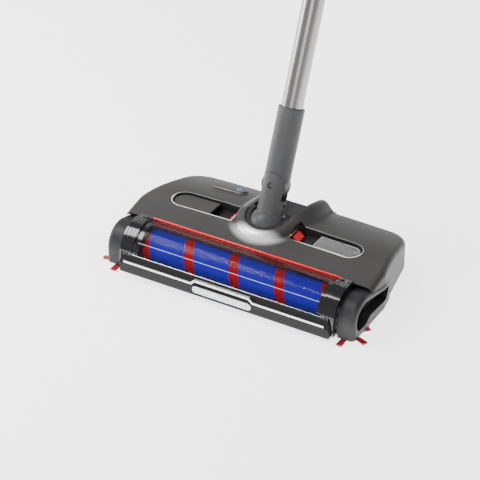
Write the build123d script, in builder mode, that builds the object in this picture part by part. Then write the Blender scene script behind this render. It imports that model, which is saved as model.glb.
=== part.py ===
from build123d import *
from math import cos, sin, radians
import os

# Cordless carpet sweeper. Millimetres, +Z up, front of the head towards -Y.
# The origin is on the floor, straight below the pivot of the neck.

os.makedirs("parts", exist_ok=True)

# ---- driving dimensions ----
half_width = 176
widest_y = -20
rear_taper = 20
rear_y = 91
cover_front_y = -56
corner_radius = 34
edge_radius = 8
wall = 2.4
gap = 0.3
pan_bottom = 4
cover_bottom = 12
crown_radius = 4000
crown_angle = 3

pivot_z = 60
ball_radius = 25
lean = 22.8
tube_radius = 17
roll_height = 54
socket_top = 154
pole_radius = 14
pole_wall = 0.8
seat_depth = 104
lower_pole_top = 520
coupler_length = 60
upper_pole_top = 960
grip_top = 1105

roller_y = -74
roller_z = 27.5
pile_radius = 26
core_radius = 17
pile_half = 126
cheek_inner = 130
cheek_outer = 133
cap_inner = 153.6
cap_depth = 7
chamber_back = -45

window_y = -72
window_z = 25
window_radius = 38
window_wall = 1.8
hinge_y = -62.1
hinge_z = 60.6

belt_x = -139
motor_y = 40
motor_z = 22
roller_pulley_radius = 9
motor_pulley_radius = 4.5
belt_width = 6
belt_thickness = 1.6

well_radius = 28.6
ring_inner = 22
ring_height = 77.6
ring_tilt = 13
trough_floor = 42

recess_y = -4.5
recess_inner_x = 40
recess_outer_x = 136
recess_radius = 18.5
recess_floor = 53

brush_x = 161
brush_y = -84
brush_reach = 29.5

bin_inner = 34
bin_back = 18
bin_roof = 44

button_x = -76
button_y = 61
pad_x = -89
pad_y = 61

socket_x = 60
socket_z = 24
socket_radius = 4.6


def finish(builder, name):
    builder.part.label = name
    export_step(builder.part, "parts/" + name + ".step")


def oblong(x_start, x_end, radius):
    """Oblong outline, square at the inner end and half round at the outer end."""
    centre = x_end - radius if x_end > 0 else x_end + radius
    with BuildSketch() as outline:
        with BuildLine():
            Line((x_start, -radius), (centre, -radius))
            ThreePointArc((centre, -radius), (x_end, 0), (centre, radius))
            Line((centre, radius), (x_start, radius))
            Line((x_start, radius), (x_start, -radius))
        make_face()
    return outline.sketch


# ---- top cover ----
crown_centre_z = -crown_radius
crown_plane = Plane(
    origin=(0, 0, crown_centre_z),
    x_dir=(0, 1, 0),
    z_dir=(cos(radians(crown_angle)), 0, sin(radians(crown_angle))),
)
crown_axis = Axis((0, 0, crown_centre_z), (0, 1, 0))
top_points = [(-90, 53), (cover_front_y, 60.2), (-15, 67), (35, 61.5), (rear_y, 45.5), (rear_y + 20, 38)]


def cover_height(y):
    """Height of the cover's middle line above the floor at a distance y."""
    for (y0, z0), (y1, z1) in zip(top_points, top_points[1:]):
        if y0 <= y <= y1:
            return z0 + (z1 - z0) * (y - y0) / (y1 - y0)
    return top_points[-1][1]


def head_outline(inset=0.0, front=-68.0):
    """Plan of the head behind the roller, shrunk by an inset."""
    side = half_width - inset
    back = rear_y - inset
    with BuildSketch() as outline:
        with BuildLine():
            Polyline(
                (-side, front), (-side, widest_y), (-side + rear_taper, back),
                (side - rear_taper, back), (side, widest_y), (side, front), close=True,
            )
        make_face()
        corners = outline.vertices().filter_by(lambda v: v.Y > back - 1)
        fillet(corners, corner_radius - inset)
    return outline.sketch


def crowned_solid(inset, bottom, front):
    """Head-shaped block under the crowned top surface."""
    lift = crown_radius - inset
    with BuildPart() as block:
        with BuildSketch(Plane.XY.offset(bottom)):
            add(head_outline(inset, front))
        extrude(amount=70)
        with BuildSketch(crown_plane):
            with BuildLine():
                top = Spline(*[(y, z + lift) for y, z in top_points])
                Polyline(top @ 1, ((top @ 1).X, lift - 40), ((top @ 0).X, lift - 40), top @ 0)
            make_face()
        revolve(axis=crown_axis, revolution_arc=2 * crown_angle, mode=Mode.INTERSECT)
        rim = block.faces().sort_by(Axis.Z)[-1].edges().filter_by(lambda e: e.center().Y > front + 5)
        fillet(rim, edge_radius - inset)
    return block.part


ridge_top = [(0, 77.4), (30, 73.2), (60, 68.2), (rear_y, 58.5)]
ridge_foot = [52, 54, 54, 51]
land = well_radius + 3


def ridge_section(y, top_z, foot):
    """Cross-section of the raised shoulders that run back from the collar."""
    foot_z = cover_height(y) - foot**2 / (2 * crown_radius) - 0.6
    with BuildSketch(Plane.XZ.offset(-y)) as section:
        with BuildLine():
            for side in (-1, 1):
                Spline((side * land, top_z), (side * foot, foot_z), tangents=[(side, -0.15), (side, -0.12)])
                Line((side * foot, foot_z), (side * foot, foot_z - 6))
            Line((-foot, foot_z - 6), (foot, foot_z - 6))
            Line((-land, top_z), (land, top_z))
        make_face()
    return section.sketch


ring_axis = (0, -sin(radians(ring_tilt)), cos(radians(ring_tilt)))
ring_plane = Plane(origin=(0, 0, ring_height), x_dir=(1, 0, 0), z_dir=ring_axis)
ring_side = Plane(origin=(0, 0, ring_height), x_dir=(1, 0, 0), z_dir=(0, -ring_axis[2], ring_axis[1]))

with BuildPart() as shoulders:
    for (y, z), foot in zip(ridge_top, ridge_foot):
        add(ridge_section(y, z, foot))
    loft()

with BuildPart() as collar_hump:
    with BuildSketch(ring_side):
        with BuildLine():
            Spline((land, 0), (ridge_foot[0], -11.5), tangents=[(1, -0.15), (1, -0.12)])
            Polyline((ridge_foot[0], -11.5), (ridge_foot[0], -20), (0, -20), (0, 0), (land, 0))
        make_face()
    revolve(axis=Axis((0, 0, ring_height), ring_axis))
    split(bisect_by=Plane.XZ)


def trough_outline(inset=0.0, back=rear_y + 10):
    """Plan of the well round the neck, open to the rear."""
    radius = well_radius - inset
    with BuildSketch() as outline:
        with BuildLine():
            ThreePointArc((-radius, 0), (0, -radius), (radius, 0))
            Polyline((radius, 0), (radius, back), (-radius, back), (-radius, 0))
        make_face()
    return outline.sketch


def end_cap_profile(grow=0.0):
    """Side view of an end cap, round at the front over the roller's axis."""
    arc = 28.5 + grow
    top_y = roller_y + 8
    with BuildSketch() as outline:
        with BuildLine():
            ThreePointArc((roller_y - arc, 26), (roller_y - 0.68 * arc, 26 + 0.76 * arc), (top_y, 26 + arc))
            Polyline(
                (top_y, 26 + arc), (2 + grow, 36.5 + grow), (2 + grow, 7),
                (roller_y - arc, 7), (roller_y - arc, 26),
            )
        make_face()
    return outline.sketch


with BuildPart() as top_cover:
    add(crowned_solid(0, cover_bottom, -68))
    add(shoulders.part)
    add(collar_hump.part)
    add(crowned_solid(wall, cover_bottom - 5, -90), mode=Mode.SUBTRACT)
    with BuildSketch(Plane.XY.offset(trough_floor - 2)):
        add(trough_outline())
    extrude(amount=60, mode=Mode.SUBTRACT)
    for side in (-1, 1):
        with BuildSketch(Plane.YZ.offset(side * (cap_inner - 2 * gap))):
            add(end_cap_profile(gap))
        extrude(amount=side * 40, mode=Mode.SUBTRACT)
        with BuildSketch(Plane.XY.offset(recess_floor)):
            with Locations((0, recess_y)):
                add(oblong(side * recess_inner_x, side * recess_outer_x, recess_radius))
        extrude(amount=30, mode=Mode.SUBTRACT)
    with BuildSketch(Plane.XY.offset(trough_floor)):
        with Locations((pad_x, pad_y)):
            SlotOverall(50.6, 16.6)
    extrude(amount=30, mode=Mode.SUBTRACT)
    with Locations((0, cover_front_y - 15, 50)):
        Box(400, 30, 100, mode=Mode.SUBTRACT)
    with Locations((0, 0, 0)):
        Box(67, 19.5, 2 * 68.5, mode=Mode.SUBTRACT)
    with Locations((socket_x, rear_y, socket_z)):
        Cylinder(socket_radius + 0.3, 30, rotation=(90, 0, 0), mode=Mode.SUBTRACT)
finish(top_cover, "top_cover")

# ---- base pan: floor, roller chamber and dust bins ----
pan_floor = 2.2
roof_thickness = 1.5
pan_inset = 3.2
door_inner = 37
door_outer = 123
door_front = -40
door_back = 14
axle_z = 10
wheel_x = 120
wheel_y = 74
glide_y = -38

screw_places = [(-150, 14), (150, 14), (-70, 30), (70, 30), (-144, 60), (144, 60)]

with BuildPart() as base_pan:
    with BuildSketch(Plane.XY.offset(pan_bottom)):
        add(head_outline(pan_inset, chamber_back))
    extrude(amount=pan_floor)
    with BuildSketch(Plane.XY.offset(pan_bottom)):
        add(head_outline(pan_inset, chamber_back))
        add(head_outline(pan_inset + 2, chamber_back - 1), mode=Mode.SUBTRACT)
    extrude(amount=26)
    for side in (-1, 1):
        with BuildSketch(Plane.YZ.offset(side * cheek_inner)):
            with Locations((window_y, window_z)):
                Circle(33)
            with Locations(((window_y + bin_back) / 2, 28)):
                Rectangle(bin_back - window_y, 40)
            with Locations((window_y, 0)):
                Rectangle(80, 16, mode=Mode.SUBTRACT)
            with Locations((roller_y, roller_z)):
                Circle(8, mode=Mode.SUBTRACT)
        extrude(amount=side * (cheek_outer - cheek_inner))
        with Locations((side * (bin_inner - 1), (chamber_back + bin_back) / 2, 24)):
            Box(2, bin_back - chamber_back, 40)
        with Locations((side * (bin_inner + cheek_inner) / 2, bin_back + 1, 24)):
            Box(cheek_inner - bin_inner + 4, 2, 40)
        roof_x = side * (bin_inner + cheek_inner) / 2
        with Locations((roof_x, (chamber_back + bin_back) / 2, bin_roof + roof_thickness / 2)):
            Box(cheek_inner - bin_inner + 4, bin_back - chamber_back + 2, roof_thickness)
        for offset_x in (-8, 8):
            with Locations((side * wheel_x + offset_x, wheel_y, axle_z - 1)):
                Box(2, 8, 10)
    with Locations((0, chamber_back, 11)):
        Box(2 * cheek_inner, 2, 14)
    with Locations((0, chamber_back, 48)):
        Box(2 * cheek_inner, 2, 10)
    for side in (-1, 1):
        with BuildSketch(Plane.XY.offset(pan_bottom - 1)):
            with Locations((side * (door_inner + door_outer) / 2, (door_front + door_back) / 2)):
                Rectangle(door_outer - door_inner, door_back - door_front)
            with Locations((side * wheel_x, wheel_y)):
                Rectangle(14, 25)
        extrude(amount=pan_floor + 2, mode=Mode.SUBTRACT)
    with Locations(*[(side * wheel_x, wheel_y, axle_z) for side in (-1, 1)]):
        Cylinder(1.5, 18.1, rotation=(0, 90, 0), mode=Mode.SUBTRACT)
    with Locations(*[(x, y, pan_bottom) for x, y in screw_places]):
        Cylinder(1.6, 20, mode=Mode.SUBTRACT)
    with Locations(*[(side * 160, chamber_back + 23, pan_bottom + pan_floor + 20) for side in (-1, 1)]):
        Box(40, 49, 40, mode=Mode.SUBTRACT)
    with Locations((socket_x, rear_y, socket_z)):
        Cylinder(socket_radius + 0.3, 30, rotation=(90, 0, 0), mode=Mode.SUBTRACT)
finish(base_pan, "base_pan")

with BuildPart() as base_screws:
    with Locations(*[(x, y, pan_bottom - 0.9) for x, y in screw_places]):
        Cylinder(2.9, 0.9, align=(Align.CENTER, Align.CENTER, Align.MIN))
        Cylinder(1.5, 10, align=(Align.CENTER, Align.CENTER, Align.MIN))
finish(base_screws, "base_screws")

with BuildPart() as wheel_axles:
    with Locations(*[(side * wheel_x, wheel_y, axle_z) for side in (-1, 1)]):
        Cylinder(1.45, 18, rotation=(0, 90, 0))
finish(wheel_axles, "wheel_axles")

with BuildPart() as front_glides:
    with Locations(*[(side * 146, glide_y, 0) for side in (-1, 1)]):
        Box(10, 12, pan_bottom, align=(Align.CENTER, Align.CENTER, Align.MIN))
    fillet(front_glides.edges().group_by(Axis.Z)[0], 1.8)
finish(front_glides, "front_glides")

wheel_radius = 10
for side, name in ((-1, "left"), (1, "right")):
    with BuildPart() as wheel:
        with Locations((side * wheel_x, wheel_y, axle_z)):
            Cylinder(wheel_radius - 2.5, 10, rotation=(0, 90, 0))
            Cylinder(1.5, 12, rotation=(0, 90, 0), mode=Mode.SUBTRACT)
    finish(wheel, "rear_wheel_" + name)
    with BuildPart() as tyre:
        with Locations((side * wheel_x, wheel_y, axle_z)):
            Cylinder(wheel_radius, 10, rotation=(0, 90, 0))
            Cylinder(wheel_radius - 2.5, 12, rotation=(0, 90, 0), mode=Mode.SUBTRACT)
        fillet(tyre.edges().filter_by(GeomType.CIRCLE).sort_by(SortBy.RADIUS)[-2:], 1.2)
    finish(tyre, "rear_tyre_" + name)

# ---- bottom dust doors ----
door_hinge_y = door_back - 2.4
door_hinge_z = pan_bottom + 1.4
for side, name in ((-1, "left"), (1, "right")):
    with BuildPart() as door:
        centre_x = side * (door_inner + door_outer) / 2
        width = door_outer - door_inner - 1
        with Locations((centre_x, (door_front + 0.5 + door_hinge_y) / 2, door_hinge_z)):
            Box(width, door_hinge_y - door_front - 0.5, 1.8)
        with Locations((centre_x, door_hinge_y, door_hinge_z)):
            Cylinder(1.4, width, rotation=(0, 90, 0))
        with Locations(*[(centre_x, y, door_hinge_z + 1.6) for y in (-30, -18, -6)]):
            Box(width - 8, 1.6, 1.6)
    finish(door, "dust_door_" + name)

# ---- inside the head ----
with BuildPart() as pivot_blocks:
    with Locations(*[(side * 28.7, 0, pan_bottom + pan_floor) for side in (-1, 1)]):
        Box(6, 18, 62, align=(Align.CENTER, Align.CENTER, Align.MIN))
    with Locations((0, 0, pivot_z)):
        Cylinder(4.05, 80, rotation=(0, 90, 0), mode=Mode.SUBTRACT)
finish(pivot_blocks, "pivot_blocks")

with BuildPart() as battery_pack:
    with Locations((0, 58, pan_bottom + pan_floor)):
        Box(110, 40, 22, align=(Align.CENTER, Align.CENTER, Align.MIN))
    fillet(battery_pack.edges().filter_by(Axis.X), 5)
finish(battery_pack, "battery_pack")

with BuildPart() as control_board:
    with Locations((-92, 60, 38.5)):
        Box(50, 18, 1.6)
        with Locations((16, 1, 2.3)):
            Box(6, 6, 3)
        with Locations((-12, 2, 2.3)):
            Box(10, 6, 3)
finish(control_board, "control_board")

with BuildPart() as charging_socket:
    with Locations((socket_x, rear_y + 0.3, socket_z)):
        Cylinder(socket_radius, 13, rotation=(90, 0, 0), align=(Align.CENTER, Align.CENTER, Align.MIN))
        Cylinder(
            3, 8, rotation=(90, 0, 0), align=(Align.CENTER, Align.CENTER, Align.MIN), mode=Mode.SUBTRACT,
        )
        Cylinder(0.9, 8, rotation=(90, 0, 0), align=(Align.CENTER, Align.CENTER, Align.MIN))
finish(charging_socket, "charging_socket")

# ---- roller drive ----
with BuildPart() as motor_body:
    with Locations((-104, motor_y, motor_z)):
        Cylinder(13.5, 50, rotation=(0, 90, 0))
    with Locations((-104, motor_y, pan_bottom + pan_floor)):
        Box(40, 20, 8, align=(Align.CENTER, Align.CENTER, Align.MIN))
    fillet(motor_body.edges().filter_by(GeomType.CIRCLE), 1.5)
    with Locations((-104 - 25, motor_y, motor_z)):
        Cylinder(2.1, 24, rotation=(0, 90, 0), mode=Mode.SUBTRACT)
finish(motor_body, "motor_body")

with BuildPart() as motor_shaft:
    with Locations((-131, motor_y, motor_z)):
        Cylinder(2, 26, rotation=(0, 90, 0))
    with Locations((belt_x, motor_y, motor_z)):
        Cylinder(motor_pulley_radius, belt_width + 0.6, rotation=(0, 90, 0))
finish(motor_shaft, "motor_shaft")


def belt_loop(thickness):
    """Outline round both pulleys, grown by a thickness."""
    big = Circle(roller_pulley_radius + thickness, mode=Mode.PRIVATE).moved(Location((roller_y, roller_z)))
    small = Circle(motor_pulley_radius + thickness, mode=Mode.PRIVATE).moved(Location((motor_y, motor_z)))
    return make_hull(big.edges() + small.edges(), mode=Mode.PRIVATE)


with BuildPart() as drive_belt:
    with BuildSketch(Plane.YZ.offset(belt_x - belt_width / 2)):
        add(belt_loop(belt_thickness))
        add(belt_loop(0.05), mode=Mode.SUBTRACT)
    extrude(amount=belt_width)
finish(drive_belt, "drive_belt")

with BuildPart() as roller_bushes:
    for side in (-1, 1):
        with Locations((side * (cheek_inner + cheek_outer) / 2, roller_y, roller_z)):
            Cylinder(7.9, cheek_outer - cheek_inner, rotation=(0, 90, 0))
        with Locations((side * (cheek_outer + 0.7), roller_y, roller_z)):
            Cylinder(9, 1.2, rotation=(0, 90, 0))
    with Locations((0, roller_y, roller_z)):
        Cylinder(4.05, 300, rotation=(0, 90, 0), mode=Mode.SUBTRACT)
finish(roller_bushes, "roller_bushes")

with BuildPart() as roller_core:
    with Locations((0, roller_y, roller_z)):
        Cylinder(core_radius, 2 * (pile_half + 1), rotation=(0, 90, 0))
        Cylinder(core_radius - 2, 2 * (pile_half - 3), rotation=(0, 90, 0), mode=Mode.SUBTRACT)
        Cylinder(10, 2 * (cheek_inner - 0.4), rotation=(0, 90, 0))
        Cylinder(core_radius - 5, 2 * (pile_half - 3), rotation=(0, 90, 0), mode=Mode.SUBTRACT)
    with Locations(((141.5 - 135.5) / -2, roller_y, roller_z)):
        Cylinder(4, 141.5 + 135.5, rotation=(0, 90, 0))
finish(roller_core, "roller_core")

with BuildPart() as roller_pile:
    with Locations((0, roller_y, roller_z)):
        Cylinder(pile_radius, 2 * pile_half, rotation=(0, 90, 0))
        Cylinder(core_radius, 2 * pile_half + 2, rotation=(0, 90, 0), mode=Mode.SUBTRACT)
    fillet(roller_pile.edges().filter_by(GeomType.CIRCLE).sort_by(SortBy.RADIUS)[-2:], 2.5)
finish(roller_pile, "roller_pile")

with BuildPart() as roller_pulley:
    with Locations((belt_x, roller_y, roller_z)):
        Cylinder(roller_pulley_radius, belt_width + 0.4, rotation=(0, 90, 0))
        Cylinder(4, belt_width + 2, rotation=(0, 90, 0), mode=Mode.SUBTRACT)
finish(roller_pulley, "roller_pulley")

# ---- front bumper and lamp ----
bumper_half = 148
lamp_half = 42
lamp_z = 20
step_half = 38
trim_half = 142
step_up = 5


def bumper_profile(grow=0.0):
    """Side view of the bumper: upright front, rounded lip behind the trim line."""
    with BuildSketch() as outline:
        with BuildLine():
            Polyline((-105.6, 9), (-113, 8.2))
            ThreePointArc((-113, 8.2), (-114.9, 9.6), (-115.6, 12))
            Polyline((-115.6, 12), (-115.6, 23), (-112.6, 28.5), (-110.6, 33))
            ThreePointArc((-110.6, 33), (-108.8, 34.4), (-107, 33.4))
            Polyline((-107, 33.4), (-105.6, 29), (-105.6, 9))
        make_face()
    return outline.sketch


with BuildPart() as front_bumper:
    with BuildSketch(Plane.YZ.offset(-bumper_half)):
        add(bumper_profile())
    extrude(amount=2 * bumper_half)
    for side in (-1, 1):
        with BuildSketch(Plane.XZ.offset(120)):
            with BuildLine():
                Polyline(
                    (side * (bumper_half + 5), 36), (side * (bumper_half - 4), 36),
                    (side * (bumper_half + 5), 16), close=True,
                )
            make_face()
        extrude(amount=-16, mode=Mode.SUBTRACT)
    with BuildSketch(Plane.XZ.offset(116)):
        with Locations((0, lamp_z - 1.5)):
            SlotOverall(2 * lamp_half, 10)
    extrude(amount=-8, mode=Mode.SUBTRACT)
finish(front_bumper, "front_bumper")

with BuildPart() as headlight_lens:
    with BuildSketch(Plane.XZ.offset(112)):
        with Locations((0, lamp_z - 1.5)):
            SlotOverall(2 * lamp_half - 0.4, 9.6)
    extrude(amount=4.2)
    fillet(headlight_lens.faces().sort_by(Axis.Y)[0].edges(), 1.2)
finish(headlight_lens, "headlight_lens")

with BuildPart() as headlight_board:
    with Locations((0, -109.2, lamp_z - 1.5)):
        Box(2 * lamp_half - 14, 1.2, 7)
    with Locations(*[(x, -110.3, lamp_z - 1.5) for x in (-24, -12, 0, 12, 24)]):
        Box(4, 1, 4)
finish(headlight_board, "headlight_board")

with BuildPart() as bumper_trim:
    with BuildSketch(Plane.XZ.offset(115.8)):
        with BuildLine():
            low = 24.6
            Polyline(
                (-trim_half, low), (-step_half - step_up, low), (-step_half, low + step_up),
                (step_half, low + step_up), (step_half + step_up, low), (trim_half, low),
                (trim_half, low + 2.6), (step_half + step_up + 1, low + 2.6),
                (step_half + 1, low + step_up + 2.6), (-step_half - 1, low + step_up + 2.6),
                (-step_half - step_up - 1, low + 2.6), (-trim_half, low + 2.6), close=True,
            )
        make_face()
    extrude(amount=-8)
    with BuildSketch(Plane.YZ.offset(-bumper_half)):
        with BuildLine():
            Polyline(
                (-117, 22), (-116.3, 23.2), (-113.3, 28.7), (-110.9, 34), (-117, 34), close=True,
            )
        make_face()
    extrude(amount=2 * bumper_half, mode=Mode.INTERSECT)
    with BuildSketch(Plane.YZ.offset(-bumper_half)):
        add(bumper_profile())
    extrude(amount=2 * bumper_half, mode=Mode.SUBTRACT)
finish(bumper_trim, "bumper_trim")


# ---- roller window ----
def window_arc(inner, outer, front_angle, back_angle):
    """Part of a ring round the window's centre; angles from vertical, positive to the rear."""
    def spot(radius, angle):
        return (window_y + radius * sin(radians(angle)), window_z + radius * cos(radians(angle)))
    middle = (front_angle + back_angle) / 2
    with BuildSketch() as outline:
        with BuildLine():
            ThreePointArc(spot(inner, front_angle), spot(inner, middle), spot(inner, back_angle))
            Line(spot(inner, back_angle), spot(outer, back_angle))
            ThreePointArc(spot(outer, back_angle), spot(outer, middle), spot(outer, front_angle))
            Line(spot(outer, front_angle), spot(inner, front_angle))
        make_face()
    return outline.sketch


window_half = cheek_outer
bracket_width = 18
window_inner = window_radius - window_wall
front_angle = -73
barrel_angle = 14.5
barrel_radius = 1.9

with BuildPart() as clear_cover:
    with BuildSketch(Plane.YZ.offset(-window_half)):
        add(window_arc(window_inner, window_radius, front_angle, barrel_angle))
    extrude(amount=2 * window_half)
    with Locations((0, hinge_y, hinge_z)):
        Cylinder(barrel_radius, 2 * window_half, rotation=(0, 90, 0))
        Cylinder(1.3, 2 * (window_half + 6), rotation=(0, 90, 0))
finish(clear_cover, "clear_cover")

for side, name in ((-1, "left"), (1, "right")):
    with BuildPart() as lug:
        with BuildSketch(Plane.YZ.offset(side * (cheek_inner - 3.5))):
            add(window_arc(window_inner - 2.2, window_inner, front_angle, 2))
        extrude(amount=side * 6.4)
    finish(lug, "cover_lug_" + name)

with BuildPart() as red_strip:
    with Locations((0, cover_front_y - 1.5, 59.4)):
        Box(2 * cheek_outer + 0.6, 2.4, 4.8)
    fillet(red_strip.edges().filter_by(Axis.X).group_by(Axis.Z)[-1], 1)
finish(red_strip, "red_strip")

with BuildPart() as window_band:
    with BuildSketch(Plane.YZ.offset(-128)):
        add(window_arc(33.4, 34.6, 4, 24))
    extrude(amount=256)
finish(window_band, "window_band")

for side, name in ((-1, "left"), (1, "right")):
    with BuildPart() as bracket:
        with BuildSketch(Plane.YZ.offset(side * (cheek_outer + 0.6))):
            with Locations((window_y, window_z)):
                Circle(window_radius + 0.6)
        extrude(amount=side * bracket_width)
        with BuildSketch(Plane.YZ.offset(side * (cheek_outer + bracket_width))):
            with Locations((window_y, window_z)):
                Circle(window_radius - 8)
        extrude(amount=side * 1.6)
        with Locations((side * (cheek_outer + 8.7), -64.5, 58.2)):
            Box(16.2, 10, 8.4)
        with BuildSketch(Plane.YZ.offset(side * (cheek_outer + 0.6))):
            with Locations((window_y, window_z)):
                Circle(window_radius - 2.6)
        extrude(amount=side * (bracket_width - 1.5), mode=Mode.SUBTRACT)
        with Locations((side * (cheek_outer + 8), window_y, -10)):
            Box(30, 100, 36, mode=Mode.SUBTRACT)
        with Locations((side * (cheek_outer + 8), -57 + 30, 40)):
            Box(30, 60, 100, mode=Mode.SUBTRACT)
        with Locations((side * (bumper_half + 0.6 - 11.5), -120, 20)):
            Box(23, 30.2, 31.4, mode=Mode.SUBTRACT)
        with Locations((side * (cheek_outer + 3), hinge_y, hinge_z)):
            Cylinder(1.4, 10, rotation=(0, 90, 0), mode=Mode.SUBTRACT)
    finish(bracket, "corner_bracket_" + name)

# ---- end caps with finger scoops ----
scoop_depth = 13

for side, name in ((-1, "left"), (1, "right")):
    with BuildPart() as cap:
        with BuildSketch(Plane.YZ.offset(side * cap_inner)):
            add(end_cap_profile())
        extrude(amount=side * 30)
        with BuildSketch(Plane.XY):
            add(head_outline(0, -130))
        extrude(amount=80, mode=Mode.INTERSECT)
        outer = cap.faces().filter_by(lambda f: abs(f.normal_at().X) > 0.99).sort_by(Axis.X)
        outer_face = outer[-1] if side > 0 else outer[0]
        fillet(outer_face.edges().filter_by(lambda e: e.center().Z > 8 and e.center().Y < -40), 6)
        with BuildSketch(Plane.YZ.offset(side * half_width)):
            with BuildLine():
                ThreePointArc((-95, 30), (-88, 43.5), (-70, 47.5))
                Polyline((-70, 47.5), (-4, 31.5), (-4, 27), (-12, 17.5), (-58, 21), (-70, 14.5), (-88, 15))
                ThreePointArc((-88, 15), (-93.6, 22), (-95, 30))
            make_face()
        extrude(amount=-side * scoop_depth, mode=Mode.SUBTRACT)
        with BuildSketch(Plane.YZ.offset(side * cap_inner)):
            add(end_cap_profile(-2.5))
        extrude(amount=side * cap_depth, mode=Mode.SUBTRACT)
        with Locations((side * brush_x, brush_y, 9)):
            Cylinder(7.4, 3.6, align=(Align.CENTER, Align.CENTER, Align.MIN), mode=Mode.SUBTRACT)
        with Locations((side * brush_x, brush_y, 5)):
            Cylinder(2.3, 5, align=(Align.CENTER, Align.CENTER, Align.MIN), mode=Mode.SUBTRACT)
    finish(cap, "end_cap_" + name)

# ---- corner brushes ----
with BuildPart() as side_brush_motors:
    with Locations(*[(side * brush_x, brush_y, 9.1) for side in (-1, 1)]):
        Cylinder(7.2, 3.4, align=(Align.CENTER, Align.CENTER, Align.MIN))
        Cylinder(2.1, 2.4, align=(Align.CENTER, Align.CENTER, Align.MIN), mode=Mode.SUBTRACT)
finish(side_brush_motors, "side_brush_motors")

tuft_count = 5
for side, name in ((-1, "left"), (1, "right")):
    with BuildPart() as hub:
        with Locations((side * brush_x, brush_y, 1.6)):
            Cylinder(8, 4.6, align=(Align.CENTER, Align.CENTER, Align.MIN))
            Cylinder(2, 9, align=(Align.CENTER, Align.CENTER, Align.MIN))
        fillet(hub.edges().filter_by(GeomType.CIRCLE).group_by(Axis.Z)[0], 1.2)
    finish(hub, "side_brush_hub_" + name)
    with BuildPart() as tufts:
        with Locations((side * brush_x, brush_y, 3.8)):
            with PolarLocations((8.05 + brush_reach) / 2, tuft_count, start_angle=-90):
                Box(brush_reach - 8.05, 5, 2.6)
    finish(tufts, "side_brush_tufts_" + name)

# ---- recesses with their latches ----
rim_width = 1.5
tray_wall = 1.4
slider_x = 46.5
slider_size = 8.4
slider_base = recess_floor + tray_wall + 0.6


def recess_solid(side, inset, bottom):
    """Block with the recess's outline, up to the crowned surface."""
    with BuildPart() as block:
        with BuildSketch(Plane.XY.offset(bottom)):
            with Locations((0, recess_y)):
                inner_x, outer_x = recess_inner_x + inset, recess_outer_x - inset
                add(oblong(side * inner_x, side * outer_x, recess_radius - inset))
        extrude(amount=30)
    return block.part


with BuildPart() as recess_rims:
    for side in (-1, 1):
        add(recess_solid(side, 0.15, recess_floor))
    add(crowned_solid(-0.7, cover_bottom, -68), mode=Mode.INTERSECT)
    add(crowned_solid(1.2, cover_bottom, -80), mode=Mode.SUBTRACT)
    for side in (-1, 1):
        add(recess_solid(side, rim_width, recess_floor), mode=Mode.SUBTRACT)
finish(recess_rims, "recess_rims")

with BuildPart() as recess_trays:
    for side in (-1, 1):
        add(recess_solid(side, 0.15, recess_floor))
    add(crowned_solid(1.25, cover_bottom, -68), mode=Mode.INTERSECT)
    for side in (-1, 1):
        add(recess_solid(side, rim_width, recess_floor + tray_wall), mode=Mode.SUBTRACT)
        with Locations((side * (slider_x + 1.5), recess_y, recess_floor)):
            Box(8.6, 5, 10, mode=Mode.SUBTRACT)
        with Locations((side * 62, recess_y, recess_floor - 2.6)):
            Box(2, 8, 5.2)
finish(recess_trays, "recess_trays")

insert_inner_x = 73
with BuildPart() as pad_insert:
    with BuildSketch(Plane.XY.offset(recess_floor + tray_wall)):
        with Locations((0, recess_y)):
            add(oblong(-insert_inner_x, -(recess_outer_x - 3.4), recess_radius - 3.4))
    extrude(amount=30)
    add(crowned_solid(1.6, cover_bottom, -68), mode=Mode.INTERSECT)
    fillet(pad_insert.faces().sort_by(Axis.Z)[-1].edges(), 1.6)
finish(pad_insert, "pad_insert")

mesh_inset = 5.5
with BuildPart() as mesh_pocket:
    with BuildSketch(Plane.XY.offset(recess_floor)):
        with Locations((0, recess_y)):
            frame_radius = recess_radius - mesh_inset - 1.2
            add(oblong(insert_inner_x + 1.2, recess_outer_x - mesh_inset - 0.2, frame_radius))
    extrude(amount=30)
    add(crowned_solid(3.6, cover_bottom, -68), mode=Mode.INTERSECT)

with BuildPart() as mesh_grille:
    with BuildSketch(Plane.XY.offset(recess_floor + tray_wall)):
        with Locations((0, recess_y)):
            add(oblong(insert_inner_x, recess_outer_x - mesh_inset + 1, recess_radius - mesh_inset))
    extrude(amount=30)
    add(crowned_solid(2.4, cover_bottom, -68), mode=Mode.INTERSECT)
    add(mesh_pocket.part, mode=Mode.SUBTRACT)
    with BuildSketch(Plane.XZ.offset(30)):
        with Locations(((insert_inner_x + recess_outer_x) / 2 - 3, recess_floor + 4.5)):
            with GridLocations(4.2, 1, 10, 1):
                Rectangle(2.2, 3)
    extrude(amount=-60, mode=Mode.SUBTRACT)
finish(mesh_grille, "mesh_grille")

for side, name in ((-1, "left"), (1, "right")):
    with BuildPart() as slider:
        with BuildSketch(Plane.XZ.offset(-recess_y - 8)):
            with BuildLine():
                inner = side * (slider_x - slider_size / 2)
                outer = side * (slider_x + slider_size / 2)
                Polyline(
                    (inner, slider_base), (outer, slider_base), (outer, slider_base + 3.6),
                    (inner + side * 2, slider_base + 9), (inner, slider_base + 9), close=True,
                )
            make_face()
        extrude(amount=16)
        fillet(slider.edges().filter_by(Axis.Y).group_by(Axis.Z)[-1], 0.6)
        with Locations((side * slider_x, recess_y, slider_base)):
            Box(4, 4, 9.4, align=(Align.CENTER, Align.CENTER, Align.MAX))
    finish(slider, "latch_slider_" + name)

spring_z = recess_floor - 3.6
spring_start = 52.2
with BuildPart() as latch_springs:
    for side in (-1, 1):
        with Locations((side * (spring_start + 61) / 2, recess_y, spring_z)):
            Cylinder(1.8, 61 - spring_start, rotation=(0, 90, 0))
            Cylinder(1.2, 20, rotation=(0, 90, 0), mode=Mode.SUBTRACT)
finish(latch_springs, "latch_springs")

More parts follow.
